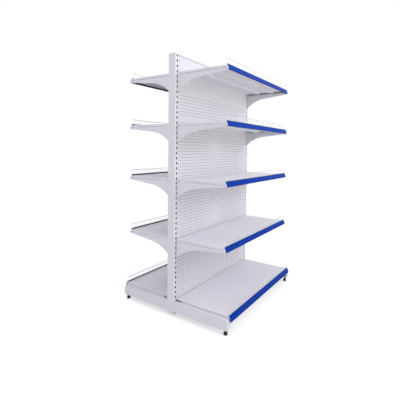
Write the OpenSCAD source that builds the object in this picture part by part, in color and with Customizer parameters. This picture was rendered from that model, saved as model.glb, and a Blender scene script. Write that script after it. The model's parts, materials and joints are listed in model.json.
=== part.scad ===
// Double-sided gondola shelving unit, in millimetres.
// X runs along the bay, Y across it (-Y is the front) and Z up.
// The origin is on the floor, under the middle of the unit.

/* [Overall] */
// Height from the floor to the top of the upright caps
unit_h = 1800; // [1650:10:2400]
// Distance between the middles of the two uprights
bay_l = 1000; // [600:10:1330]

/* [Uprights] */
// Size of an upright along the bay
upright_w = 40; // [34:1:60]
// Size of an upright across the unit
upright_d = 60; // [50:1:90]
// Wall of the upright tube
upright_wall = 2; // [1.5:0.1:3]
// Outer corner radius of the upright tube
upright_r = 3.5; // [3.2:0.1:6]
// Gap between the floor and the foot of an upright
upright_gap = 16; // [8:1:24]
// Distance from one slot to the next
slot_pitch = 34.4; // [30:0.1:38]
// Width of a slot
slot_w = 12; // [12:0.5:16]
// Height of a slot
slot_h = 16; // [15:0.5:20]
// Distance from the top of the unit to the middle of the first slot
slot_first = 16.6; // [15:0.1:22]
// Thickness of the cap on an upright
cap_t = 3; // [2:0.5:5]
// Depth of the plug under a cap
cap_plug = 5; // [3:0.5:8]

/* [Back panels] */
// Panels in each stack
panel_n = 4; // [2:1:6]
// Thickness of the panel sheet
panel_t = 0.8; // [0.6:0.1:1.2]
// Depth of the folded edge round a panel
panel_fold = 14; // [8:1:18]
// Height of the rail along the top of the panels
top_rail_h = 12; // [8:1:20]
// Thickness of the top rail sheet
top_rail_t = 1.2; // [0.8:0.1:2]
// Distance from the top of the unit down to the top rail
top_rail_drop = 6; // [4:1:12]
// Height of the ties between the uprights
tie_h = 30; // [20:1:50]
// Height of the lower tie above the floor
tie_z = 60; // [40:1:70]

/* [Shelves] */
// Slot, counted down from the top one, that takes the first hook of each shelf
shelf_slots = [4, 14, 25, 37]; // [0:1:45]
// Depth of a shelf from the face of an upright
shelf_depth = 400; // [250:10:600]
// Thickness of the tray sheet
tray_t = 1; // [0.8:0.1:1.6]
// Height of the front lip
lip_h = 25; // [22:1:40]
// Height of the front lip of a deck
deck_lip_h = 30; // [22:1:50]
// Lean of the front lip
lip_tilt = 20; // [0:1:30]
// Depth of the fold under the front lip
nose_fold = 5; // [4:0.5:8]
// Height of the folded side of a tray
side_h = 14; // [10:1:18]
// Height of the folded rear edge of a tray
rear_h = 20; // [12:1:30]
// Gap between a tray and the face of the uprights
tray_gap = 2; // [1.5:0.5:6]
// Gap between the end of a tray and the middle of its upright
end_gap = 2.5; // [0.5:0.5:3]
// Width of a stiffener under a tray
rib_w = 36; // [20:1:60]
// Height of a stiffener under a tray
rib_h = 12; // [8:1:16]

/* [Brackets] */
// Thickness of the bracket sheet
bracket_t = 2.5; // [2:0.1:3]
// Shadow gap between a tray and its brackets
seat_gap = 2; // [1.5:0.5:6]
// Height of a bracket at its tip
tip_h = 12; // [8:1:20]
// Height of a bracket where its curve starts
curve_h = 36; // [24:1:60]
// Distance from the upright to where the curve starts
curve_start = 170; // [90:5:200]
// Length of bracket under its lowest hook
toe_h = 40; // [20:1:60]
// Distance from the tray top down to the first hook's slot
hook_drop = 29; // [28:1:40]
// Hooks on each bracket
hook_n = 3; // [2:1:4]
// Height of a hook's neck
neck_h = 8; // [5:0.5:9]
// How far a hook reaches down behind the wall
hook_reach = 7; // [5:0.5:8]

/* [Base] */
// Depth of the base from the face of an upright
base_depth = 445; // [300:5:650]
// Height of the deck above the floor
deck_z = 117.5; // [114:0.5:160]
// Width of a leg
leg_w = 36; // [30:1:50]
// Wall of a leg
leg_t = 2; // [1.5:0.1:3]
// Height of the underside of a leg
leg_z = 32; // [28:1:38]
// Radius of the lower front corner of a leg
leg_r = 14; // [6:1:15]
// Radius of the upper front corner of a leg
leg_top_r = 18; // [4:1:20]
// How far the hemmed edge of a deck stands out over its side
deck_rim = 3; // [0:1:14]
// Length of the notch in the rear corner of a deck
notch_l = 48; // [20:1:80]
// Height of the side left above the notch in the rear corner of a deck
notch_land = 3; // [2:0.5:6]

/* [Levelling feet] */
// Diameter of a foot pad
pad_d = 28; // [22:1:34]
// Height of a foot pad
pad_h = 20; // [12:1:24]
// Diameter of the stem
stem_d = 10; // [8:1:12]
// Length of stem above the underside of the leg
stem_l = 38; // [30:1:48]
// Distance of a foot from the front of its leg
foot_inset = 24; // [24:1:60]

/* [Price strips] */
// Thickness of the strip
strip_t = 1.6; // [1:0.1:2.5]
// How far a strip stands above its tray
strip_rise = 8; // [3:0.5:12]
// Radius of the rolled edges of a strip
bead_r = 1.5; // [1.4:0.1:2.5]
// Length of the ledge that lies on the tray
ledge_l = 3; // [2:0.5:6]
// Height of the clip behind the lip
clip_h = 8; // [6:0.5:16]
// Distance from the end of a tray to the end of its strip
strip_set = 6; // [0:1:20]

/* [Wire fences] */
// Height of a fence above its tray
fence_h = 44; // [30:1:90]
// Height of the lower long wire above the tray
rail_z = 10; // [4:0.5:16]
// Diameter of the two long wires
rail_d = 3.6; // [3:0.1:5]
// Diameter of the upright wires
post_d = 2.8; // [2:0.1:3]
// Distance between the upright wires
post_pitch = 26; // [18:1:60]
// Pegs that hold a fence to its tray
peg_n = 5; // [2:1:9]
// Length of a peg below the tray top
peg_l = 12; // [8:1:16]

/* [Clearances] */
// Clearance round a sliding or loose piece
loose = 0.3; // [0.2:0.05:0.5]
// Clearance between a hook and the wall it hangs on
hook_gap = 0.4; // [0.3:0.1:0.8]

/* [Hidden] */
steel_white = "#e9e8ef";
strip_blue = "#1b45bf";
wire_silver = "#c9cbd0";
pad_black = "#1d1d20";
cap_white = "#f2f2f4";
round_fn = 48;
wire_fn = 24;
lap = 1;
end_x = bay_l / 2;
face_y = upright_d / 2;
tray_x = end_x - end_gap;
inner_l = bay_l - upright_w;
tube_top = unit_h - cap_t;
slot_margin = 4;
slot_n = floor((unit_h - slot_first - slot_h / 2 - upright_gap - slot_margin) / slot_pitch) + 1;
lip_y = tray_t / cos(lip_tilt);
strip_y = strip_t / cos(lip_tilt);
strip_gap = loose / cos(lip_tilt);
top_rail_top = unit_h - top_rail_drop;
panel_top = top_rail_top - top_rail_t;
panel_bottom = tie_z + tie_h;
panel_set = 0.5;
panel_face = face_y - panel_set;
panel_step = (panel_top - panel_bottom) / panel_n;
hook_t = 2.6;
bracket_top = side_h + seat_gap;
rear_gap = 2;
clip_set = nose_fold + loose + strip_t;
// A strip's clip leans as the lip does
clip_run = (clip_h - strip_t) * tan(lip_tilt);
clip_gap = 1;
clip_back = clip_set + clip_run + clip_gap;
bracket_y = shelf_depth - clip_back;
bracket_low = hook_drop + (hook_n - 1) * slot_pitch + toe_h;
curve_steps = 24;
flange_w = 12;
lug_l = 24;
lug_set = 40;
side_fold = 10;
leg_top = deck_z - side_h;
leg_y = base_depth - clip_back;
leg_hook_w = 5;
foot_y = leg_y - foot_inset;
foot_plate = 44;
foot_plate_t = 3;
nut_d = 18;
nut_h = 12;
// How far the leaning top of a strip reaches in over its tray
strip_lean = (strip_rise - bead_r) * tan(lip_tilt) + bead_r - strip_gap - strip_y / 2;
fence_inset = max(ledge_l, strip_lean) + loose + rail_d / 2;
fence_set = 6;
fence_x = tray_x - fence_set;
post_n = round(2 * fence_x / post_pitch);
peg_posts = [for (k = [0 : peg_n - 1]) round(1 + k * (post_n - 2) / (peg_n - 1))];

sides = [["front", -1], ["rear", 1]];
ends = [["left", -1], ["right", 1]];
levels = [1 : len(shelf_slots)];

// Middle height of a slot, counted down from the top one
function slot_z(k) = unit_h - slot_first - k * slot_pitch;

// Height of a shelf's tray top
function shelf_z(i) = slot_z(shelf_slots[i - 1]) + hook_drop;

// How far a front lip leans out
function lip_run(lip) = lip * tan(lip_tilt);

// Place of a fence post along the bay
function post_at(k) = fence_x * (2 * k / post_n - 1);

// Foot of a fence post; some run down through the tray as pegs
function post_low(k) = len([for (p = peg_posts) if (p == k) p]) > 0 ? -peg_l : loose;

// Places a piece drawn for the right end of the rear side
module at_side(sy, sx = 1) {
  mirror([sx < 0 ? 1 : 0, 0, 0]) mirror([0, sy < 0 ? 1 : 0, 0]) children();
}

// Extrudes a Y-Z profile along X
module along_x(x, l) {
  translate([x, 0, 0]) rotate([90, 0, 90]) linear_extrude(height = l) children();
}

module round_rect(w, d, r) {
  square([w - 2 * r, d], center = true);
  square([w, d - 2 * r], center = true);
  for (x = [-1, 1], y = [-1, 1])
    translate([x * (w / 2 - r), y * (d / 2 - r)]) circle(r = r, $fn = round_fn);
}

// Slotted tube that carries the brackets and legs
module upright(sx) {
  color(steel_white) translate([sx * end_x, 0, 0]) difference() {
    translate([0, 0, upright_gap]) linear_extrude(height = tube_top - upright_gap) difference() {
      round_rect(upright_w, upright_d, upright_r);
      round_rect(upright_w - 2 * upright_wall, upright_d - 2 * upright_wall, upright_r - upright_wall);
    }
    for (k = [0 : slot_n - 1])
      translate([-slot_w / 2, -upright_d, slot_z(k) - slot_h / 2]) cube([slot_w, 2 * upright_d, slot_h]);
  }
}

// Plastic plugs that close the two uprights
module upright_caps() {
  plug_gap = 2 * (upright_wall + loose);
  color(cap_white) for (e = ends) translate([e[1] * end_x, 0, tube_top]) {
    linear_extrude(height = cap_t) round_rect(upright_w, upright_d, upright_r);
    translate([0, 0, -cap_plug]) linear_extrude(height = cap_plug)
      square([upright_w - plug_gap - upright_r, upright_d - plug_gap - upright_r], center = true);
  }
}

module tie_tube(w, z) {
  along_x(-inner_l / 2, inner_l) translate([0, z + tie_h / 2]) difference() {
    square([w, tie_h], center = true);
    square([w - 2 * upright_wall, tie_h - 2 * upright_wall], center = true);
  }
}

// Top rail over the panels and two ties between the uprights
module tie_rails() {
  rail_half = face_y + top_rail_t;
  color(steel_white) {
    along_x(-inner_l / 2, inner_l) {
      translate([-rail_half, panel_top]) square([2 * rail_half, top_rail_t]);
      for (s = sides)
        translate([s[1] * (rail_half - top_rail_t / 2) - top_rail_t / 2, top_rail_top - top_rail_h])
          square([top_rail_t, top_rail_h]);
    }
    tie_tube(2 * (panel_face - panel_fold) - 2 * loose, (panel_bottom + panel_top - tie_h) / 2);
    tie_tube(2 * panel_face, tie_z);
  }
}

// One stack of folded back panels
module back_panels(sy) {
  panel_l = inner_l - 2 * loose;
  panel_h = panel_step - loose;
  color(steel_white) at_side(sy) for (k = [0 : panel_n - 1])
    translate([-panel_l / 2, panel_face - panel_fold, panel_bottom + k * panel_step]) difference() {
      cube([panel_l, panel_fold, panel_h]);
      translate([panel_t, -panel_t, panel_t])
        cube([panel_l - 2 * panel_t, panel_fold, panel_h - 2 * panel_t]);
    }
}

// Hook that drops behind an upright's wall; z is the bottom of its slot
module hook(z) {
  reach_y = upright_wall + hook_gap + hook_t;
  translate([-reach_y, z]) square([reach_y + lap, neck_h]);
  translate([-reach_y, z - hook_reach]) square([hook_t, hook_reach + neck_h]);
}

// Side outline of a leg, drawn in by the given inset and then open below
module leg_outline(inset) {
  low = inset > 0 ? leg_z - lap : leg_z;
  top = leg_top - inset;
  corner_z = leg_z + leg_r;
  translate([inset, low]) square([leg_y - leg_r - inset, top - low]);
  translate([inset, corner_z]) square([leg_y - leg_top_r - inset, top - corner_z]);
  translate([inset, corner_z]) square([leg_y - 2 * inset, leg_top - leg_top_r - corner_z]);
  translate([leg_y - leg_r, corner_z]) circle(r = leg_r - inset, $fn = round_fn);
  translate([leg_y - leg_top_r, leg_top - leg_top_r]) circle(r = leg_top_r - inset, $fn = round_fn);
}

// Folded leg that hooks on an upright, with a window under the deck's notch and a nut plate for its foot
module leg(sy, sx) {
  hook_zs = [
    for (k = [0 : slot_n - 1])
      let (z = slot_z(k) - slot_h / 2)
      if (z > leg_z && z + neck_h < leg_top) z
  ];
  color(steel_white) at_side(sy, sx) translate([end_x, face_y, 0]) difference() {
    union() {
      difference() {
        along_x(-leg_w / 2, leg_w) leg_outline(0);
        along_x(leg_t - leg_w / 2, leg_w - 2 * leg_t) leg_outline(leg_t);
      }
      translate([-leg_w / 2, foot_y + nut_d / 2 - foot_plate, leg_z]) cube([leg_w, foot_plate, foot_plate_t]);
      translate([0, foot_y, leg_z]) cylinder(d = nut_d, h = foot_plate_t + nut_h, $fn = round_fn);
      along_x(-leg_hook_w / 2, leg_hook_w) for (z = hook_zs) hook(z);
    }
    translate([0, foot_y, leg_z - lap])
      cylinder(d = stem_d + 2 * loose, h = foot_plate_t + nut_h + 2 * lap, $fn = round_fn);
    translate([leg_t - leg_w / 2, tray_gap, leg_top - leg_t - lap])
      cube([leg_w / 2 - leg_t - end_gap, notch_l, leg_t + 2 * lap]);
  }
}

// Levelling foot: pad, nut and stem
module foot(sy, sx) {
  pad_rim = 5;
  pad_taper = 4;
  foot_nut_d = 19;
  color(pad_black) at_side(sy, sx) translate([end_x, face_y + foot_y, 0]) {
    cylinder(d = pad_d, h = pad_rim, $fn = round_fn);
    translate([0, 0, pad_rim])
      cylinder(d1 = pad_d, d2 = pad_d - pad_taper, h = pad_h - pad_rim, $fn = round_fn);
    translate([0, 0, pad_h]) cylinder(d = foot_nut_d, h = leg_z - pad_h, $fn = 6);
    translate([0, 0, leg_z]) cylinder(d = stem_d, h = stem_l, $fn = round_fn);
  }
}

// Cross section of a tray: top sheet and leaning lip with its fold
module tray_section(depth, lip) {
  top_y = depth - lip_run(lip);
  translate([tray_gap, -tray_t]) square([top_y - tray_gap - lip_y / 2, tray_t]);
  polygon([[top_y, 0], [depth, -lip], [depth - lip_y, -lip], [top_y - lip_y, 0]]);
  translate([depth - nose_fold, -lip]) square([nose_fold - lip_y, tray_t]);
}

module tray_rib() {
  difference() {
    translate([-rib_w / 2, -tray_t - rib_h]) square([rib_w, rib_h]);
    translate([tray_t - rib_w / 2, -rib_h]) square([rib_w - 2 * tray_t, rib_h]);
  }
}

// Folded tray with closed ends, two stiffeners and holes for the fence pegs; its top is at z = 0
module tray(depth, lip, rim, notch) {
  top_y = depth - lip_run(lip);
  side_x = tray_x - rim;
  nose_y = depth - nose_fold;
  side_y = depth - clip_back;
  rear_x = tray_x - leg_w / 2 - rear_gap;
  rib_x = rear_x - side_fold;
  difference() {
    union() {
      along_x(-tray_x, 2 * tray_x) tray_section(depth, lip);
      along_x(-rear_x, 2 * rear_x) translate([tray_gap, -rear_h]) square([tray_t, rear_h]);
      along_x(-rib_x, 2 * rib_x)
        for (f = [1, 2]) translate([tray_gap + f * (top_y - tray_gap) / 3, 0]) tray_rib();
      if (rim > 0) for (x = [-tray_x, side_x]) translate([x, tray_gap, -2 * tray_t])
        cube([rim, top_y - tray_gap - lip_y, 2 * tray_t]);
      for (x = [-side_x, side_x - tray_t]) along_x(x, tray_t)
        polygon([
          [tray_gap, 0], [top_y, 0], [depth, -lip],
          [nose_y, -lip], [side_y, -side_h], [tray_gap, -side_h]
        ]);
      for (x = [-side_x, side_x - side_fold]) translate([x, tray_gap, -side_h])
        cube([side_fold, side_y - tray_gap, tray_t]);
    }
    for (k = peg_posts)
      translate([post_at(k), top_y - fence_inset, -2 * tray_t])
        cylinder(d = post_d + 2 * loose, h = 3 * tray_t, $fn = wire_fn);
    if (notch) for (sx = [-1, 1])
      translate([sx * side_x - side_fold - lap, tray_gap - lap, -side_h - lap])
        cube([2 * (side_fold + lap), notch_l + lap, side_h - notch_land + lap]);
  }
}

module shelf_tray(sy, i) {
  color(steel_white) at_side(sy) translate([0, face_y, shelf_z(i)]) tray(shelf_depth, lip_h, 0, false);
}

module deck(sy) {
  color(steel_white) at_side(sy) translate([0, face_y, deck_z]) tray(base_depth, deck_lip_h, deck_rim, true);
}

// Points of the hollow curve under a bracket, from its toe to the end of its straight lower edge
function curve_points() =
  let (
    start = [curve_start, -bracket_top - curve_h],
    toe = [0, -bracket_low],
    along = start - [bracket_y, -bracket_top - tip_h],
    normal = [-along[1], along[0]] / norm(along),
    chord = toe - start,
    r = (chord * chord) / (2 * (chord * normal)),
    middle = start + r * normal,
    a0 = atan2(toe[1] - middle[1], toe[0] - middle[0]),
    a1 = atan2(start[1] - middle[1], start[0] - middle[0])
  )
  [for (k = [0 : curve_steps]) let (a = a0 + (a1 - a0) * k / curve_steps) middle + r * [cos(a), sin(a)]];

// Sheet cantilever with hooks, seat lugs and a folded top edge
module bracket(sy, i, sx) {
  color(steel_white) at_side(sy, sx) translate([0, face_y, shelf_z(i)]) {
    along_x(tray_x - bracket_t, bracket_t) {
      polygon(concat(
        curve_points(), [[bracket_y, -bracket_top - tip_h], [bracket_y, -bracket_top], [0, -bracket_top]]
      ));
      for (y = [lug_set, bracket_y - lug_set - lug_l])
        translate([y, -bracket_top - lap]) square([lug_l, seat_gap + lap]);
      for (j = [0 : hook_n - 1]) hook(-hook_drop - j * slot_pitch - slot_h / 2);
    }
    translate([tray_x - bracket_t - flange_w, lug_set / 2, -bracket_top - bracket_t])
      cube([flange_w + lap, bracket_y - lug_set, bracket_t]);
  }
}

// Cross section of a price strip clipped on a leaning lip
module strip_section(depth, lip) {
  inner = depth - lip_run(lip) + strip_gap;
  lean = tan(lip_tilt);
  bead_zs = [strip_rise - bead_r, -lip - bead_r];
  function band_y(z) = inner - z * lean;
  polygon([
    for (z = bead_zs) [band_y(z), z],
    for (z = [bead_zs[1], bead_zs[0]]) [band_y(z) + strip_y, z]
  ]);
  for (z = bead_zs) translate([band_y(z) + strip_y / 2, z]) circle(r = bead_r, $fn = wire_fn);
  translate([inner - strip_gap - ledge_l, 0]) square([ledge_l + strip_y, strip_t]);
  translate([depth - clip_set, -lip - strip_t]) square([clip_set + strip_y, strip_t]);
}

// Price strip with the clip that holds it behind the lip
module price_strip(sy, z, depth, lip, rim, set) {
  strip_x = tray_x - set;
  clip_x = min(strip_x, tray_x - rim - tray_t - loose);
  clip_y = depth - clip_set;
  color(strip_blue) at_side(sy) translate([0, face_y, z]) {
    along_x(-strip_x, 2 * strip_x) strip_section(depth, lip);
    along_x(-clip_x, 2 * clip_x) {
      translate([clip_y, -lip - strip_t]) square([strip_t, strip_t]);
      polygon([for (p = [[0, 0], [strip_t, 0], [strip_t - clip_run, 1], [-clip_run, 1]])
        [clip_y + p[0], -lip + p[1] * (clip_h - strip_t)]]);
    }
  }
}

// Welded wire fence that stands on a tray's front edge
module wire_fence(sy, z, depth, lip) {
  high = fence_h - rail_d / 2;
  color(wire_silver) at_side(sy) translate([0, face_y + depth - lip_run(lip) - fence_inset, z]) {
    for (h = [rail_z, high])
      translate([-fence_x - rail_d, 0, h]) rotate([0, 90, 0])
        cylinder(d = rail_d, h = 2 * (fence_x + rail_d), $fn = wire_fn);
    for (k = [0 : post_n])
      translate([post_at(k), 0, post_low(k)]) cylinder(d = post_d, h = high - post_low(k), $fn = wire_fn);
  }
}

upright(-1);  // upright_left
upright(1);  // upright_right
upright_caps();
tie_rails();
for (s = sides) {
  back_panels(s[1]);
  deck(s[1]);
  price_strip(s[1], deck_z, base_depth, deck_lip_h, deck_rim, 0);
  wire_fence(s[1], deck_z, base_depth, deck_lip_h);
}
for (s = sides, e = ends) {
  leg(s[1], e[1]);
  foot(s[1], e[1]);
}
for (s = sides, i = levels) {
  shelf_tray(s[1], i);
  price_strip(s[1], shelf_z(i), shelf_depth, lip_h, 0, strip_set);
  wire_fence(s[1], shelf_z(i), shelf_depth, lip_h);
}
for (s = sides, i = levels, e = ends)
  bracket(s[1], i, e[1]);
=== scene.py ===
import json
import math

import bmesh
import bpy
from mathutils import Matrix, Vector


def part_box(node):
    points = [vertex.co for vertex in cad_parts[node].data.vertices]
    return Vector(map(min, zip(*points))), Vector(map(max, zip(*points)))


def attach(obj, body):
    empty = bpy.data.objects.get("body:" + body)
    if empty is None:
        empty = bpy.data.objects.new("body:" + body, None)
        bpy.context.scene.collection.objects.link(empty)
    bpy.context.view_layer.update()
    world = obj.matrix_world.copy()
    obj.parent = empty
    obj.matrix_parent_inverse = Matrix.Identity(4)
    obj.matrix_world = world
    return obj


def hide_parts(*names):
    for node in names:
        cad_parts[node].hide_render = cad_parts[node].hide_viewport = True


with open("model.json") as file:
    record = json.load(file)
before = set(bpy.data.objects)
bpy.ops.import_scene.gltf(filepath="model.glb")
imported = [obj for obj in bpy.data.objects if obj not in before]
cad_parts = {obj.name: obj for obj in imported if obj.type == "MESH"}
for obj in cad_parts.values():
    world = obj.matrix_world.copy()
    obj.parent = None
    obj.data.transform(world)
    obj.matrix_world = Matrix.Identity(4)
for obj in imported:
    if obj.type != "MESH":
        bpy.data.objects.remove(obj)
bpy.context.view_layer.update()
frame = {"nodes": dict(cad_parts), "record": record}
print("frame loaded:", len(frame["nodes"]), "nodes")

mm = 0.001
sides = ("front", "rear")
ends = ("left", "right")
levels = (1, 2, 3, 4)  # 1 is the top shelf
record = frame["record"]
bodyOf = {node: body for body, nodes in record["behaviour"]["bodies"].items() for node in nodes}
slotOf = {part["node"]: part["material_slot"] for part in record["subparts"]}


# Camera, standing where the unit is seen from its left end and its front

cameraLook = {
    "place": (-2.1628, -1.4489, 1.1584),
    "yaw": -57.58,
    "pitch": -2.77,
    "roll": 0.85,
    "lens": 28.66,
    "sensor": 36.0,
    "shift": (-0.054, -0.0875),
}


def placeCamera(look):
    yaw, pitch, roll = (math.radians(look[key]) for key in ("yaw", "pitch", "roll"))
    ahead = Vector((
        -math.sin(yaw) * math.cos(pitch),
        math.cos(yaw) * math.cos(pitch),
        math.sin(pitch),
    ))
    right = Vector((math.cos(yaw), math.sin(yaw), 0))
    up = right.cross(ahead)
    tiltedRight = right * math.cos(roll) + up * math.sin(roll)
    tiltedUp = up * math.cos(roll) - right * math.sin(roll)
    camera = bpy.data.objects.new("camera", bpy.data.cameras.new("camera"))
    turn = Matrix((tiltedRight, tiltedUp, -ahead)).transposed().to_4x4()
    camera.matrix_world = Matrix.Translation(look["place"]) @ turn
    camera.data.sensor_width = look["sensor"]
    camera.data.lens = look["lens"]
    camera.data.shift_x, camera.data.shift_y = look["shift"]
    bpy.context.scene.collection.objects.link(camera)
    bpy.context.scene.camera = camera


placeCamera(cameraLook)
print("camera placed")


# Node helpers for the finishes

def startFinish(name):
    material = bpy.data.materials.new(name)
    material.use_nodes = True
    tree = material.node_tree
    where = tree.nodes.new("ShaderNodeTexCoord").outputs["Object"]
    return material, tree, tree.nodes["Principled BSDF"], where


def stretched(tree, where, scale):
    mapping = tree.nodes.new("ShaderNodeMapping")
    mapping.inputs["Scale"].default_value = scale
    tree.links.new(where, mapping.inputs["Vector"])
    return mapping.outputs["Vector"]


def noise(tree, where, scale, detail=2.0):
    texture = tree.nodes.new("ShaderNodeTexNoise")
    texture.inputs["Scale"].default_value = scale
    texture.inputs["Detail"].default_value = detail
    tree.links.new(where, texture.inputs["Vector"])
    return texture.outputs["Fac"]


# Maps a value to another range; a noise texture lies mostly between 0.3 and 0.7
def spread(tree, value, low, high, fromLow=0.3, fromHigh=0.7):
    node = tree.nodes.new("ShaderNodeMapRange")
    node.inputs["From Min"].default_value = fromLow
    node.inputs["From Max"].default_value = fromHigh
    node.inputs["To Min"].default_value = low
    node.inputs["To Max"].default_value = high
    tree.links.new(value, node.inputs["Value"])
    return node.outputs["Result"]


def product(tree, first, second):
    node = tree.nodes.new("ShaderNodeMath")
    node.operation = "MULTIPLY"
    tree.links.new(first, node.inputs[0])
    tree.links.new(second, node.inputs[1])
    return node.outputs["Value"]


def mixed(tree, share, first, second):
    node = tree.nodes.new("ShaderNodeMix")
    node.data_type = "RGBA"
    tree.links.new(share, node.inputs["Factor"])
    for socket, colour in ((node.inputs["A"], first), (node.inputs["B"], second)):
        if isinstance(colour, tuple):
            socket.default_value = (*colour, 1.0)
        else:
            tree.links.new(colour, socket)
    return node.outputs["Result"]


# Each piece may shade its finish by its own object colour
def toned(tree, colour):
    node = tree.nodes.new("ShaderNodeMix")
    node.data_type = "RGBA"
    node.blend_type = "MULTIPLY"
    node.inputs["Factor"].default_value = 1.0
    tree.links.new(colour, node.inputs["A"])
    tree.links.new(tree.nodes.new("ShaderNodeObjectInfo").outputs["Color"], node.inputs["B"])
    return node.outputs["Result"]


def addBump(tree, shader, height, depth, strength):
    node = tree.nodes.new("ShaderNodeBump")
    node.inputs["Strength"].default_value = strength
    node.inputs["Distance"].default_value = depth
    tree.links.new(height, node.inputs["Height"])
    tree.links.new(node.outputs["Normal"], shader.inputs["Normal"])


# 1 on an edge and 0 on flat ground, from how far a rounded normal leans away from the true one
def edgeShare(tree, radius):
    edgeLean, flatLean = 0.86, 0.99  # cosines of the angle between the two
    rounded = tree.nodes.new("ShaderNodeBevel")
    rounded.inputs["Radius"].default_value = radius
    lean = tree.nodes.new("ShaderNodeVectorMath")
    lean.operation = "DOT_PRODUCT"
    tree.links.new(rounded.outputs["Normal"], lean.inputs[0])
    tree.links.new(tree.nodes.new("ShaderNodeNewGeometry").outputs["Normal"], lean.inputs[1])
    return spread(tree, lean.outputs["Value"], 1.0, 0.0, edgeLean, flatLean)


# How far a face looks out from the middle plane of the unit; less than 0 where it looks back in
def outlook(tree):
    ground = tree.nodes.new("ShaderNodeNewGeometry")
    ways = []
    for name in ("Position", "Normal"):
        parts = tree.nodes.new("ShaderNodeSeparateXYZ")
        tree.links.new(ground.outputs[name], parts.inputs[0])
        ways.append(parts.outputs["Y"])
    return product(tree, *ways)


# 1 on the inner faces of the panels and of the slotted walls of the uprights
def innerShare(tree, far, near):
    out = outlook(tree)
    return product(tree, spread(tree, out, 0.0, 1.0, *far), spread(tree, out, 1.0, 0.0, *near))


# Up to the given most where little open air is within reach, and 0 on open ground; it masks painted
# shade
def hollowShare(tree, reach, most, closed, clear):
    node = tree.nodes.new("ShaderNodeAmbientOcclusion")
    node.samples = 8  # rays for each point
    node.inputs["Distance"].default_value = reach
    return spread(tree, node.outputs["AO"], most, 0.0, closed, clear)


# 1 on the faces that look along the bay
def endShare(tree):
    parts = tree.nodes.new("ShaderNodeSeparateXYZ")
    tree.links.new(tree.nodes.new("ShaderNodeNewGeometry").outputs["Normal"], parts.inputs[0])
    size = tree.nodes.new("ShaderNodeMath")
    size.operation = "ABSOLUTE"
    tree.links.new(parts.outputs["X"], size.inputs[0])
    return size.outputs["Value"]


# Finishes

powderLook = {
    "colour": (0.80, 0.787, 0.835),
    "drift": (0.765, 0.752, 0.815),  # slow change in the thickness of the coat
    "driftScale": 2.3,
    "driftDetail": 3.0,
    "rubbed": (0.62, 0.62, 0.66),  # on corners only
    "rubScale": 45.0,
    "rubDetail": 4.0,
    "rubMost": 0.5,
    "rubFrom": (0.5, 0.72),
    "seamShade": (0.40, 0.40, 0.43),  # painted shade along the seams of the end faces
    "seamReach": 16 * mm,
    "seamMost": 0.8,
    "seamFrom": (0.40, 0.75),
    "inside": (0.10, 0.10, 0.11),  # painted shade in closed hollows, and on the inner faces over their bare primer
    "insideReach": 300 * mm,
    "insideFrom": (0.02, 0.12),
    "innerFar": (-0.0312, -0.0305),  # faces that look in are dark between these two depths
    "innerNear": (-0.012, -0.006),
    "roughness": (0.50, 0.62),
    "glossScale": 14.0,
    "glossDetail": 3.0,
    "edge": 0.7 * mm,
    "peelScale": 620.0,  # orange peel, bumps per metre
    "peelDetail": 1.5,
    "peelDepth": 0.12 * mm,
    "peelStrength": 0.14,
}


def powderCoat(look):
    material, tree, shader, where = startFinish("whitePowderCoat")
    cloud = spread(tree, noise(tree, where, look["driftScale"], look["driftDetail"]), 0.0, 1.0)
    body = mixed(tree, cloud, look["colour"], look["drift"])
    rubs = noise(tree, where, look["rubScale"], look["rubDetail"])
    scuffs = spread(tree, rubs, 0.0, look["rubMost"], *look["rubFrom"])
    worn = product(tree, edgeShare(tree, look["edge"]), scuffs)
    body = mixed(tree, worn, body, look["rubbed"])
    # Painted shade: the seams of faces that look along the bay are darkened where little open air
    # is near
    closed = hollowShare(tree, look["seamReach"], look["seamMost"], *look["seamFrom"])
    body = mixed(tree, product(tree, closed, endShare(tree)), body, look["seamShade"])
    # Painted shade: closed hollows and the faces that look back in are made nearly black
    hollow = hollowShare(tree, look["insideReach"], 1.0, *look["insideFrom"])
    for dark in (hollow, innerShare(tree, look["innerFar"], look["innerNear"])):
        body = mixed(tree, dark, body, look["inside"])
    tree.links.new(toned(tree, body), shader.inputs["Base Color"])
    sheen = noise(tree, where, look["glossScale"], look["glossDetail"])
    tree.links.new(spread(tree, sheen, *look["roughness"]), shader.inputs["Roughness"])
    peel = noise(tree, where, look["peelScale"], look["peelDetail"])
    addBump(tree, shader, peel, look["peelDepth"], look["peelStrength"])
    return material


pvcLook = {
    "colour": (0.001, 0.030, 0.30),
    "streak": (0.004, 0.056, 0.40),  # long streaks left by the die
    "streakScale": 3.0,
    "streakDetail": 3.0,
    "streakMost": 0.7,
    "rail": (0.002, 0.024, 0.22),  # painted shade on the rolled edges along the top and bottom
    "railFrom": (0.07, 0.14),  # share of the height from an edge
    "back": (0.005, 0.005, 0.016),  # painted shade on the side that faces the shelf
    "backFrom": (-0.20, -0.08),
    "rubbed": (0.04, 0.10, 0.42),
    "rubScale": 70.0,
    "rubMost": 0.4,
    "edge": 0.6 * mm,
    "roughness": (0.30, 0.42),
    "glossScale": 9.0,
    "specular": 0.03,
    "stretch": (0.6, 90.0, 90.0),
    "lineScale": 14.0,  # fine lines along the strip
    "lineDepth": 0.05 * mm,
    "lineStrength": 0.25,
}


# 1 near the top and the bottom of a piece
def rimShare(tree, inner, outer):
    parts = tree.nodes.new("ShaderNodeSeparateXYZ")
    tree.links.new(tree.nodes.new("ShaderNodeTexCoord").outputs["Generated"], parts.inputs[0])
    top = spread(tree, parts.outputs["Z"], 0.0, 1.0, 1 - outer, 1 - inner)
    bottom = spread(tree, parts.outputs["Z"], 1.0, 0.0, inner, outer)
    both = tree.nodes.new("ShaderNodeMath")
    both.operation = "MAXIMUM"
    tree.links.new(top, both.inputs[0])
    tree.links.new(bottom, both.inputs[1])
    return both.outputs["Value"]


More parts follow.
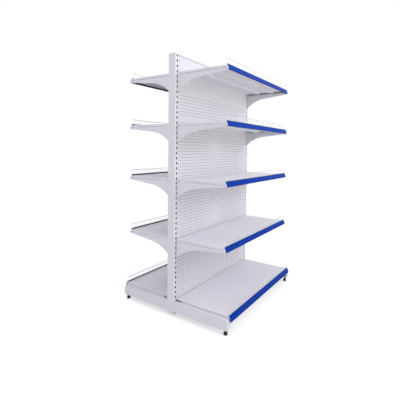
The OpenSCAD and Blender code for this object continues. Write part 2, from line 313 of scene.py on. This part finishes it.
def bluePvc(look):
    material, tree, shader, where = startFinish("bluePvc")
    along = stretched(tree, where, look["stretch"])
    lanes = noise(tree, along, look["streakScale"], look["streakDetail"])
    streaks = spread(tree, lanes, 0.0, look["streakMost"])
    body = mixed(tree, streaks, look["colour"], look["streak"])
    scuffs = spread(tree, noise(tree, where, look["rubScale"]), 0.0, look["rubMost"])
    worn = product(tree, edgeShare(tree, look["edge"]), scuffs)
    body = mixed(tree, worn, body, look["rubbed"])
    # Painted shade on the rolled edges
    body = mixed(tree, rimShare(tree, *look["railFrom"]), body, look["rail"])
    # Painted shade on the faces that look back toward the shelf
    shadedBack = spread(tree, outlook(tree), 1.0, 0.0, *look["backFrom"])
    tree.links.new(mixed(tree, shadedBack, body, look["back"]), shader.inputs["Base Color"])
    gloss = spread(tree, noise(tree, along, look["glossScale"]), *look["roughness"])
    tree.links.new(gloss, shader.inputs["Roughness"])
    shader.inputs["Specular IOR Level"].default_value = look["specular"]
    lines = noise(tree, along, look["lineScale"])
    addBump(tree, shader, lines, look["lineDepth"], look["lineStrength"])
    return material


wireLook = {
    "colour": (0.80, 0.80, 0.82),
    "patch": (0.68, 0.68, 0.70),
    "patchScale": 35.0,
    "patchDetail": 3.0,
    "patchMost": 1.0,
    "metallic": 1.0,
    "roughness": (0.20, 0.38),
    "glossScale": 160.0,
    "grainScale": 900.0,
    "grainDepth": 0.04 * mm,
    "grainStrength": 0.15,
}
padLook = {
    "colour": (0.006, 0.006, 0.007),
    "patch": (0.022, 0.021, 0.020),  # dust
    "patchScale": 120.0,
    "patchDetail": 3.0,
    "patchMost": 0.8,
    "metallic": 0.0,
    "roughness": (0.5, 0.72),
    "glossScale": 260.0,
    "grainScale": 1500.0,
    "grainDepth": 0.08 * mm,
    "grainStrength": 0.35,
}
capLook = {
    "colour": (0.80, 0.80, 0.83),
    "patch": (0.76, 0.76, 0.80),
    "patchScale": 60.0,
    "patchDetail": 3.0,
    "patchMost": 1.0,
    "metallic": 0.0,
    "roughness": (0.42, 0.56),
    "glossScale": 300.0,
    "grainScale": 1800.0,
    "grainDepth": 0.05 * mm,
    "grainStrength": 0.3,
}


# Fine-grained finish in two tones
def patchy(name, look):
    material, tree, shader, where = startFinish(name)
    blots = noise(tree, where, look["patchScale"], look["patchDetail"])
    patches = spread(tree, blots, 0.0, look["patchMost"])
    tree.links.new(mixed(tree, patches, look["colour"], look["patch"]), shader.inputs["Base Color"])
    shader.inputs["Metallic"].default_value = look["metallic"]
    gloss = spread(tree, noise(tree, where, look["glossScale"]), *look["roughness"])
    tree.links.new(gloss, shader.inputs["Roughness"])
    grain = noise(tree, where, look["grainScale"])
    addBump(tree, shader, grain, look["grainDepth"], look["grainStrength"])
    return material


finishes = {
    "white_powder_coat": powderCoat(powderLook),
    "blue_pvc": bluePvc(pvcLook),
    "bright_wire": patchy("brightWire", wireLook),
    "black_foot": patchy("blackPad", padLook),
    "white_plastic": patchy("whitePlastic", capLook),
}
for node, part in frame["nodes"].items():
    part.data.materials.clear()
    part.data.materials.append(finishes[slotOf[node]])
print("finishes made:", len(finishes))


# Mesh helpers

def closeMesh(shape, name):
    mesh = bpy.data.meshes.new(name)
    shape.to_mesh(mesh)
    shape.free()
    return mesh


def addPiece(name, mesh, node):
    piece = bpy.data.objects.new(name, mesh)
    bpy.context.scene.collection.objects.link(piece)
    mesh.materials.append(finishes[slotOf[node]])
    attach(piece, bodyOf[node])
    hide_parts(node)
    return piece


def evenShading(piece, sharpAngle):
    piece.data.shade_smooth()
    piece.data.set_sharp_from_angle(angle=math.radians(sharpAngle))
    weights = piece.modifiers.new("evenNormals", "WEIGHTED_NORMAL")
    weights.keep_sharp = True


# A skin becomes sheet metal of the given thickness, laid inside the skin
def thicken(piece, sheet):
    solid = piece.modifiers.new("sheet", "SOLIDIFY")
    solid.thickness = sheet
    solid.offset = -1.0
    solid.use_even_offset = True
    graph = bpy.context.evaluated_depsgraph_get()
    made = bpy.data.meshes.new_from_object(piece.evaluated_get(graph))
    piece.modifiers.remove(solid)
    thin = piece.data
    piece.data = made
    bpy.data.meshes.remove(thin)


# Rounds every edge that turns by more than the least angle
def bendEdges(shape, radius, steps, leastAngle=10):
    inner = [edge for edge in shape.edges if len(edge.link_faces) == 2]
    bends = [edge for edge in inner if edge.calc_face_angle(0) > math.radians(leastAngle)]
    bmesh.ops.bevel(
        shape, geom=bends, offset=radius, offset_type="OFFSET", segments=steps,
        profile=0.5, affect="EDGES", clamp_overlap=True,
    )


# Box of a piece, its side of the unit, and how near and far it reaches from the middle plane
def reaches(node):
    low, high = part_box(node)
    sign = 1 if low.y + high.y > 0 else -1
    near, far = sorted((abs(low.y), abs(high.y)))
    return low, high, sign, near, far


# Joins rows of points into a closed tube with flat ends
def joinRows(shape, rows):
    count = len(rows[0])
    for lower, upper in zip(rows, rows[1:]):
        for j in range(count):
            after = (j + 1) % count
            shape.faces.new((lower[j], lower[after], upper[after], upper[j]))
    shape.faces.new(rows[0][::-1])
    shape.faces.new(rows[-1])


# Round solid about an upright line; its profile runs from the bottom up as (radius, height).
# In the fluted rows two of every four points are set in.
def lathe(shape, centre, profile, count, flutes=(), fluteDepth=0.0):
    rows = []
    for k, (radius, height) in enumerate(profile):
        row = []
        for j in range(count):
            angle = 2 * math.pi * j / count
            reach = radius - fluteDepth if k in flutes and j % 4 < 2 else radius
            place = Vector((reach * math.cos(angle), reach * math.sin(angle), height))
            row.append(shape.verts.new(centre + place))
        rows.append(row)
    joinRows(shape, rows)


# Straight wire with domed ends
def wire(shape, start, finish, radius, count):
    ahead = (finish - start).normalized()
    across = ahead.orthogonal().normalized()
    above = ahead.cross(across)
    length = (finish - start).length
    dome = [(0.0, 0.55), (0.3 * radius, 0.86), (radius, 1.0)]  # way along, share of the radius
    rows = []
    for along, share in dome + [(length - along, share) for along, share in dome[::-1]]:
        angles = [2 * math.pi * j / count for j in range(count)]
        rows.append([shape.verts.new(start + ahead * along + radius * share * (
            across * math.cos(angle) + above * math.sin(angle))) for angle in angles])
    joinRows(shape, rows)


# Eight points around a hole, two for each corner of its cell
def holeRing(diameter):
    angles = [math.radians(22.5 + 45 * k) for k in range(8)]
    return [(math.cos(a) * diameter / 2, math.sin(a) * diameter / 2) for a in angles]


# Faces between the four corners of a cell and the round hole in it
def holeCell(face, corners, ring):
    for k in range(4):
        first, second = corners[k], corners[(k + 1) % 4]
        face([first, second, ring[2 * k], ring[2 * k - 1]])
        face([second, ring[2 * k + 1], ring[2 * k]])


# Rigid steel and plastic pieces: the CAD shape with its edges eased

easeLook = {
    "upright": 0.6 * mm,
    "bracket": 0.5 * mm,
    "leg": 0.5 * mm,
    "tie": 0.4 * mm,
    "tieTone": (0.78, 0.78, 0.79, 1.0),  # the rail is darker than the panels under it
    "caps": 1.0 * mm,
    "steps": 2,
    "leastAngle": 35,
    "flatAngle": 0.5,
    "sharpAngle": 50,
    "weld": 0.002 * mm,
}


def easedCopy(name, node, width, look):
    shape = bmesh.new()
    shape.from_mesh(frame["nodes"][node].data)
    bmesh.ops.remove_doubles(shape, verts=shape.verts, dist=look["weld"])
    flat = math.radians(look["flatAngle"])
    bmesh.ops.dissolve_limit(shape, angle_limit=flat, verts=shape.verts, edges=shape.edges)
    bendEdges(shape, width, look["steps"], look["leastAngle"])
    piece = addPiece(name, closeMesh(shape, name), node)
    evenShading(piece, look["sharpAngle"])
    return piece


for end in ends:
    easedCopy("upright." + end, "upright_" + end, easeLook["upright"], easeLook)
easedCopy("uprightCaps", "upright_caps", easeLook["caps"], easeLook)
easedCopy("tieRails", "tie_rails", easeLook["tie"], easeLook).color = easeLook["tieTone"]
for side in sides:
    for end in ends:
        easedCopy(f"leg.{side}.{end}", f"leg_{side}_{end}", easeLook["leg"], easeLook)
        for level in levels:
            node = f"bracket_{side}_{level}_{end}"
            easedCopy(f"bracket.{side}.{level}.{end}", node, easeLook["bracket"], easeLook)
print("uprights, caps, rails, legs and brackets eased")


# Folded trays and decks

trayLook = {
    "sheet": 1 * mm,
    "bend": 2 * mm,
    "bendSteps": 4,
    "lipTilt": 20,
    "noseFold": 5 * mm,
    "noseGap": 1.6 * mm,
    "sideGap": 5.23 * mm,
    "sideHeight": 14 * mm,
    "sideFold": 10 * mm,
    "rearHeight": 20 * mm,
    "rearInset": 20 * mm,
    "ribWidth": 36 * mm,
    "ribHeight": 12 * mm,
    "ribInset": 30 * mm,
    "notchLength": 48 * mm,
    "notchHeight": 11 * mm,
    "deckRim": 3 * mm,  # hemmed edge of a deck, beyond its side
    "pegCount": 5,
    "pegInset": 31.87 * mm,  # from the end of a tray to its first peg hole
    "pegSet": 5.1 * mm,  # from the bend of the lip
    "pegHole": 3.4 * mm,
    "pegCell": 6 * mm,
    "sharpAngle": 30,
}


def foldedTray(name, node, look, notched):
    low, high, sign, near, far = reaches(node)
    half, top, drop = high.x, high.z, high.z - low.z
    lipY = far - drop * math.tan(math.radians(look["lipTilt"]))
    noseY = far - look["noseFold"]
    sideY = noseY - look["sideGap"]
    pegY, cell = lipY - look["pegSet"], look["pegCell"] / 2
    pegHalf = half - look["pegInset"]
    rearHalf = half - look["rearInset"]
    ribHalf = half - look["ribInset"]
    shape = bmesh.new()

    def point(x, y, z):
        return shape.verts.new((x, sign * y, top + z))

    def face(points, turned):
        shape.faces.new(points[::-1] if turned else points)

    corners = {}
    for way in (-1, 1):
        x = way * half
        turned = way * sign < 0
        rear, lip = point(x, near, 0), point(x, lipY, 0)
        nose, tuck = point(x, far, -drop), point(x, noseY, -drop)
        behind, ahead = point(x, pegY - cell, 0), point(x, pegY + cell, 0)
        if notched:
            # A hemmed rim, and the side set in under it with a notch in its rear corner
            sideX, hem = x - way * look["deckRim"], -2 * look["sheet"]
            rimRear, rimLip = point(x, near, hem), point(x, lipY, hem)
            hemRear, hemLip = point(sideX, near, hem), point(sideX, lipY, hem)
            face([rear, rimRear, rimLip, lip, ahead, behind], turned)
            face([rimRear, hemRear, hemLip, rimLip], turned)
            step = near + look["notchLength"]
            raised = look["notchHeight"] - look["sideHeight"]
            foldRear = point(sideX, step, -look["sideHeight"])
            foldFront = point(sideX, sideY, -look["sideHeight"])
            under = [point(sideX, near, raised), point(sideX, step, raised), foldRear]
            tip = [point(sideX, noseY, -drop), point(sideX, far - look["noseGap"], -drop)]
            face([hemRear, *under, foldFront, *tip, hemLip], turned)
        else:
            sideX = x
            foldRear = point(x, near, -look["sideHeight"])
            foldFront = point(x, sideY, -look["sideHeight"])
            face([rear, foldRear, foldFront, tuck, nose, lip, ahead, behind], turned)
        inner = sideX - way * look["sideFold"]
        innerStart = near + look["notchLength"] if notched else near
        innerRear = point(inner, innerStart, -look["sideHeight"])
        innerFront = point(inner, sideY, -look["sideHeight"])
        face([foldRear, innerRear, innerFront, foldFront], turned)
        flange = point(way * rearHalf, near, 0)
        flangeEnd = point(way * rearHalf, near, -look["rearHeight"])
        corners[way] = (rear, lip, nose, tuck, flange, flangeEnd, behind, ahead)
    leftRear, leftLip, leftNose, leftTuck, leftFlange, leftEnd, *leftPegs = corners[-1]
    rightRear, rightLip, rightNose, rightTuck, rightFlange, rightEnd, *rightPegs = corners[1]

    # The top sheet, with a row of peg holes along its front
    behind, ahead = [leftPegs[0]], [leftPegs[1]]
    for k in range(look["pegCount"]):
        pegX = pegHalf * (2 * k / (look["pegCount"] - 1) - 1)
        square = [point(pegX + cell * dx, pegY + cell * dy, 0)
                  for dx, dy in ((1, -1), (1, 1), (-1, 1), (-1, -1))]
        ring = [point(pegX + dx, pegY + dy, 0) for dx, dy in holeRing(look["pegHole"])]
        holeCell(lambda points: face(points, sign < 0), square, ring)
        behind += [square[3], square[0]]
        ahead += [square[2], square[1]]
    behind.append(rightPegs[0])
    ahead.append(rightPegs[1])
    for k in range(0, len(behind), 2):
        face([behind[k], behind[k + 1], ahead[k + 1], ahead[k]], sign < 0)
    face([leftRear, leftFlange, rightFlange, rightRear, *behind[::-1]], sign < 0)
    face([*ahead, rightLip, leftLip], sign < 0)
    face([leftLip, rightLip, rightNose, leftNose], sign < 0)
    face([leftNose, rightNose, rightTuck, leftTuck], sign < 0)
    face([rightFlange, leftFlange, leftEnd, rightEnd], sign < 0)

    # Two open stiffeners under the top sheet
    for third in (1, 2):
        middle = near + third * (lipY - near) / 3
        edge, deep = look["ribWidth"] / 2, -look["sheet"] - look["ribHeight"]
        route = [(-edge, -look["sheet"]), (-edge, deep), (edge, deep), (edge, -look["sheet"])]
        rows = [[point(x, middle + y, z) for y, z in route] for x in (-ribHalf, ribHalf)]
        for k in range(len(route) - 1):
            face([rows[0][k], rows[0][k + 1], rows[1][k + 1], rows[1][k]], sign < 0)

    bendEdges(shape, look["bend"], look["bendSteps"])
    piece = addPiece(name, closeMesh(shape, name), node)
    thicken(piece, look["sheet"])
    evenShading(piece, look["sharpAngle"])


for side in sides:
    foldedTray(f"deck.{side}", f"deck_{side}", trayLook, True)
    for level in levels:
        foldedTray(f"tray.{side}.{level}", f"tray_{side}_{level}", trayLook, False)
print("trays and decks folded")


# Perforated back panels

panelLook = {
    "count": 4,
    "gap": 0.3 * mm,
    "sheet": 0.8 * mm,
    "bend": 1.2 * mm,
    "bendSteps": 3,
    "pitch": 21.8 * mm,
    "hole": 7.6 * mm,
    "margin": 6 * mm,
    "plainTop": 250 * mm,  # no holes are seen along the top of the unit
    "sharpAngle": 30,
}


def perforatedPanel(name, node, index, look):
    low, high, sign, inner, outer = reaches(node)
    step = (high.z - low.z + look["gap"]) / look["count"]
    bottom = low.z + index * step
    top = bottom + step - look["gap"]
    half, pitch = high.x, look["pitch"]
    columns = int(2 * (half - look["margin"]) / pitch)
    rows = int((top - bottom - 2 * look["margin"]) / pitch)
    startX = -columns * pitch / 2
    startZ = (top + bottom - rows * pitch) / 2
    if index == look["count"] - 1:
        rows -= round(look["plainTop"] / pitch)
    shape = bmesh.new()

    def point(x, y, z):
        return shape.verts.new((x, sign * y, z))

    def face(points):
        shape.faces.new(points[::-1] if sign > 0 else points)

    grid = [[point(startX + c * pitch, outer, startZ + r * pitch) for c in range(columns + 1)]
            for r in range(rows + 1)]
    for r in range(rows):
        for c in range(columns):
            x, z = startX + (c + 0.5) * pitch, startZ + (r + 0.5) * pitch
            ring = [point(x + dx, outer, z + dz) for dx, dz in holeRing(look["hole"])]
            holeCell(face, [grid[r][c + 1], grid[r + 1][c + 1], grid[r + 1][c], grid[r][c]], ring)

    places = [(-half, bottom), (half, bottom), (half, top), (-half, top)]
    front = [point(x, outer, z) for x, z in places]
    back = [point(x, inner, z) for x, z in places]
    borders = [
        grid[0][::-1],
        [row[-1] for row in grid[::-1]],
        grid[-1],
        [row[0] for row in grid],
    ]
    for k in range(4):
        after = (k + 1) % 4
        face([front[k], front[after], *borders[k]])
        face([front[k], back[k], back[after], front[after]])
    bendEdges(shape, look["bend"], look["bendSteps"])
    piece = addPiece(name, closeMesh(shape, name), node)
    thicken(piece, look["sheet"])
    evenShading(piece, look["sharpAngle"])


for side in sides:
    for index in range(panelLook["count"]):
        perforatedPanel(f"backPanel.{side}.{index + 1}", f"back_panels_{side}", index, panelLook)
print("back panels perforated")


# Price strips: a leaning band with rolled edges, a ledge on the tray and a clip behind the lip

stripLook = {
    "sheet": 1.6 * mm,
    "tilt": 20,
    "rise": 8 * mm,
    "roll": 1.5 * mm,
    "rollSteps": 12,
    "rollStart": 184,  # where the lower roll starts, behind the lip
    "ledge": 3 * mm,
    "noseFold": 5 * mm,
    "gap": 0.3 * mm,
    "clipHeight": 8 * mm,
    "clipInset": 1.3 * mm,  # from the end of a tray
    "deckClipInset": 4.3 * mm,  # from the end of a deck, whose sides are set in
    "sharpAngle": 35,
}


def priceStrip(name, node, trayNode, look, clipInset):
    trayLow, trayHigh, sign, near, far = reaches(trayNode)
    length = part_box(node)[1].x
    top, drop, sheet, roll = trayHigh.z, trayHigh.z - trayLow.z, look["sheet"], look["roll"]
    tilt = math.radians(look["tilt"])
    thick = sheet / math.cos(tilt)
    lipY = far - drop * math.tan(tilt)
    clipY = far - look["noseFold"] - look["gap"] - sheet

    def band(z):
        return lipY + look["gap"] / math.cos(tilt) - z * math.tan(tilt)

    def arc(y, z, radius, first, last):
        steps = look["rollSteps"]
        angles = [math.radians(first + (last - first) * k / steps) for k in range(steps + 1)]
        return [(y + radius * math.cos(a), z + radius * math.sin(a)) for a in angles]

    meet = math.degrees(math.acos(sheet / 2 / roll))  # where the band runs into a rolled edge
    highZ, lowZ = look["rise"] - roll, -drop - roll
    lowEnd, highEnd = 360 + look["tilt"] + meet, 180 + look["tilt"] + meet
    outline = arc(band(lowZ) + thick / 2, lowZ, roll, look["rollStart"], lowEnd)
    outline += arc(band(highZ) + thick / 2, highZ, roll, look["tilt"] - meet, highEnd)
    ledgeY = lipY - look["ledge"]
    outline += [(band(sheet), sheet), (ledgeY, sheet), (ledgeY, 0), (band(0), 0)]
    outline += [(band(-drop), -drop), (clipY, -drop), (clipY, -drop - sheet)]
    # The clip leans with the lip, from the sheet under the nose to its round top
    clipTop = look["clipHeight"] - drop - 1.5 * sheet
    clipRun = (clipTop + drop) * math.tan(tilt)
    clip = [(clipY, -drop), (clipY, -drop - sheet)]
    clip += [(clipY + sheet, -drop - sheet), (clipY + sheet, -drop)]
    clip += arc(clipY + sheet / 2 - clipRun, clipTop, sheet / 2, 0, 180)
    shape = bmesh.new()
    for route, half in ((outline, length), (clip, min(length, trayHigh.x - clipInset))):
        rows = [[shape.verts.new((x, sign * y, top + z)) for y, z in route] for x in (-half, half)]
        joinRows(shape, rows)
    bmesh.ops.recalc_face_normals(shape, faces=shape.faces)
    piece = addPiece(name, closeMesh(shape, name), node)
    evenShading(piece, look["sharpAngle"])


for side in sides:
    strip, deck = f"deck_strip_{side}", f"deck_{side}"
    priceStrip(f"deckStrip.{side}", strip, deck, stripLook, stripLook["deckClipInset"])
    for level in levels:
        strip, tray = f"strip_{side}_{level}", f"tray_{side}_{level}"
        priceStrip(f"strip.{side}.{level}", strip, tray, stripLook, stripLook["clipInset"])
print("price strips clipped on")


# Wire fences: posts welded to two rails; some posts run down as pegs

fenceLook = {
    "rail": 3.6 * mm,
    "post": 2.8 * mm,
    "pitch": 26 * mm,
    "pegCount": 5,
    "pegLength": 12 * mm,
    "lowRail": 10 * mm,  # above the tray
    "lift": 0.3 * mm,
    "railSides": 12,
    "postSides": 8,
    "weld": 1.9 * mm,
    "weldProfile": ((0.5, -0.8), (1, -0.2), (1, 0.2), (0.5, 0.8)),  # in shares of the weld
    "sharpAngle": 50,
}


def wireFence(name, node, look):
    low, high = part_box(node)
    y = (low.y + high.y) / 2
    half = high.x - look["rail"]
    tray = low.z + look["pegLength"]
    rails = (tray + look["lowRail"], high.z - look["rail"] / 2)
    shape = bmesh.new()
    for z in rails:
        start, finish = Vector((low.x, y, z)), Vector((high.x, y, z))
        wire(shape, start, finish, look["rail"] / 2, look["railSides"])
    count = round(2 * half / look["pitch"])
    pegs = [round(1 + k * (count - 2) / (look["pegCount"] - 1)) for k in range(look["pegCount"])]
    size = look["weld"]
    weld = [(radius * size, height * size) for radius, height in look["weldProfile"]]
    for k in range(count + 1):
        x = half * (2 * k / count - 1)
        foot = low.z if k in pegs else tray + look["lift"]
        start, finish = Vector((x, y, foot)), Vector((x, y, rails[1]))
        wire(shape, start, finish, look["post"] / 2, look["postSides"])
        for z in (rails[0] + look["rail"] / 2, rails[1] - look["rail"] / 2):
            lathe(shape, Vector((x, y, z)), weld, look["postSides"])
    bmesh.ops.recalc_face_normals(shape, faces=shape.faces)
    piece = addPiece(name, closeMesh(shape, name), node)
    evenShading(piece, look["sharpAngle"])


for side in sides:
    wireFence(f"deckFence.{side}", f"deck_fence_{side}", fenceLook)
    for level in levels:
        wireFence(f"fence.{side}.{level}", f"fence_{side}_{level}", fenceLook)
print("wire fences welded")


# Levelling feet: a fluted pad, a hexagon nut and a threaded stem

footLook = {
    # Profiles of the pad, nut and tip, as radius and height in millimetres
    "pad": (
        (12.8, 0), (14, 1), (14, 4.2), (13.2, 5),
        (13.1, 6), (12.3, 17.5), (12, 19), (10.8, 20),
    ),
    "padSides": 48,
    "flute": 0.6 * mm,
    "fluteRows": (4, 5),
    "nut": ((8.4, 20), (9.5, 21), (9.5, 31), (8.4, 32)),
    "nutSides": 6,
    "stem": 5 * mm,
    "stemSides": 24,
    "stemFoot": 32 * mm,
    "thread": 1.5 * mm,
    "threadDepth": 0.6 * mm,
    "tip": ((4.4, 1.5), (3.4, 0)),  # measured down from the top end
    "clear": 2 * mm,  # end without a thread
    "sharpAngle": 35,
}


def levellingFoot(name, node, look):
    low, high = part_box(node)
    centre = Vector(((low.x + high.x) / 2, (low.y + high.y) / 2, low.z))
    tall = high.z - low.z
    pad = [(radius * mm, height * mm) for radius, height in look["pad"]]
    nut = [(radius * mm, height * mm) for radius, height in look["nut"]]
    shape = bmesh.new()
    lathe(shape, centre, pad, look["padSides"], look["fluteRows"], look["flute"])
    lathe(shape, centre, nut, look["nutSides"])
    turns = int((tall - look["stemFoot"] - look["clear"]) / look["thread"])
    stem, root = look["stem"], look["stem"] - look["threadDepth"]
    profile = []
    for k in range(turns):
        height = look["stemFoot"] + k * look["thread"]
        profile += [(root, height), (stem, height + look["thread"] / 2)]
    profile += [(radius * mm, tall - depth * mm) for radius, depth in look["tip"]]
    lathe(shape, centre, profile, look["stemSides"])
    bmesh.ops.recalc_face_normals(shape, faces=shape.faces)
    piece = addPiece(name, closeMesh(shape, name), node)
    evenShading(piece, look["sharpAngle"])


for side in sides:
    for end in ends:
        levellingFoot(f"foot.{side}.{end}", f"foot_{side}_{end}", footLook)
print("levelling feet turned")


# Floor, lights and background

stageLook = {
    "floorSize": 30.0,
    "floorColour": (0.64, 0.64, 0.65),
    "floorGlow": 0.56,
    "floorRoughness": 0.9,
    "floorSpecular": 0.1,
    "fadeFrom": 1.3,
    "fadeTo": 3.2,
    "worldColour": (0.93, 0.94, 1.0),
    "worldStrength": 0.65,
}
lampLook = {
    "front": {
        "place": (0.6, -3.9, 3.3), "aim": (0, 0, 0.85), "size": 3.2,
        "spread": 180, "power": 97, "colour": (1.0, 1.0, 1.0),
    },
    "low": {
        "place": (0.2, -4.2, 0.5), "aim": (0, 0, 2.2), "size": 2.2,
        "spread": 70, "power": 10.5, "colour": (1.0, 0.97, 0.74),
    },
    "end": {
        "place": (-4.4, -0.4, 2.4), "aim": (0, 0, 0.85), "size": 3.0,
        "spread": 180, "power": 34, "colour": (1.0, 1.0, 1.0),
    },
    "rear": {
        "place": (-1.0, 2.2, 4.2), "aim": (0, 0.2, 0.6), "size": 1.6,
        "spread": 180, "power": 18, "colour": (1.0, 1.0, 1.0),
    },
}


# 1 for what is seen straight, in a reflection or through something; 0 for light on other surfaces
def lookShare(tree):
    rays = tree.nodes.new("ShaderNodeLightPath")
    total = rays.outputs["Is Camera Ray"]
    for kind in ("Is Glossy Ray", "Is Transmission Ray"):
        most = tree.nodes.new("ShaderNodeMath")
        most.operation = "MAXIMUM"
        tree.links.new(total, most.inputs[0])
        tree.links.new(rays.outputs[kind], most.inputs[1])
        total = most.outputs["Value"]
    return total


def whiteWorld(look):
    world = bpy.data.worlds.new("studio")
    bpy.context.scene.world = world
    world.use_nodes = True
    tree = world.node_tree
    tree.nodes.clear()
    seen, light = (tree.nodes.new("ShaderNodeBackground") for k in range(2))
    seen.inputs["Color"].default_value = (1, 1, 1, 1)
    light.inputs["Color"].default_value = (*look["worldColour"], 1)
    light.inputs["Strength"].default_value = look["worldStrength"]
    mix = tree.nodes.new("ShaderNodeMixShader")
    tree.links.new(lookShare(tree), mix.inputs["Fac"])
    tree.links.new(light.outputs["Background"], mix.inputs[1])
    tree.links.new(seen.outputs["Background"], mix.inputs[2])
    tree.links.new(mix.outputs["Shader"], tree.nodes.new("ShaderNodeOutputWorld").inputs["Surface"])


def paleFloor(look):
    size = look["floorSize"] / 2
    mesh = bpy.data.meshes.new("floor")
    corners = [(-size, -size, 0), (size, -size, 0), (size, size, 0), (-size, size, 0)]
    mesh.from_pydata(corners, [], [(0, 1, 2, 3)])
    floor = bpy.data.objects.new("floor", mesh)
    bpy.context.scene.collection.objects.link(floor)
    material, tree, shader, where = startFinish("floorPaint")
    shader.inputs["Base Color"].default_value = (*look["floorColour"], 1)
    shader.inputs["Roughness"].default_value = look["floorRoughness"]
    shader.inputs["Specular IOR Level"].default_value = look["floorSpecular"]
    shader.inputs["Emission Color"].default_value = (look["floorGlow"],) * 3 + (1,)
    tree.links.new(lookShare(tree), shader.inputs["Emission Strength"])
    white = tree.nodes.new("ShaderNodeEmission")
    away = tree.nodes.new("ShaderNodeVectorMath")
    away.operation = "LENGTH"
    tree.links.new(where, away.inputs[0])
    fade = spread(tree, away.outputs["Value"], 0.0, 1.0, look["fadeFrom"], look["fadeTo"])
    mix = tree.nodes.new("ShaderNodeMixShader")
    tree.links.new(product(tree, fade, lookShare(tree)), mix.inputs["Fac"])
    tree.links.new(shader.outputs["BSDF"], mix.inputs[1])
    tree.links.new(white.outputs["Emission"], mix.inputs[2])
    tree.links.new(mix.outputs["Shader"], tree.nodes["Material Output"].inputs["Surface"])
    mesh.materials.append(material)


def softLamp(name, look):
    lamp = bpy.data.objects.new(name, bpy.data.lights.new(name, "AREA"))
    lamp.data.shape = "DISK"
    lamp.data.size = look["size"]
    lamp.data.spread = math.radians(look["spread"])
    lamp.data.energy = look["power"]
    lamp.data.color = look["colour"]
    lamp.location = look["place"]
    lamp.rotation_euler = (Vector(look["aim"]) - lamp.location).to_track_quat("-Z", "Y").to_euler()
    bpy.context.scene.collection.objects.link(lamp)


whiteWorld(stageLook)
paleFloor(stageLook)
for name, look in lampLook.items():
    softLamp("lamp." + name, look)
bpy.context.scene.view_settings.view_transform = "Standard"
print("stage lit")
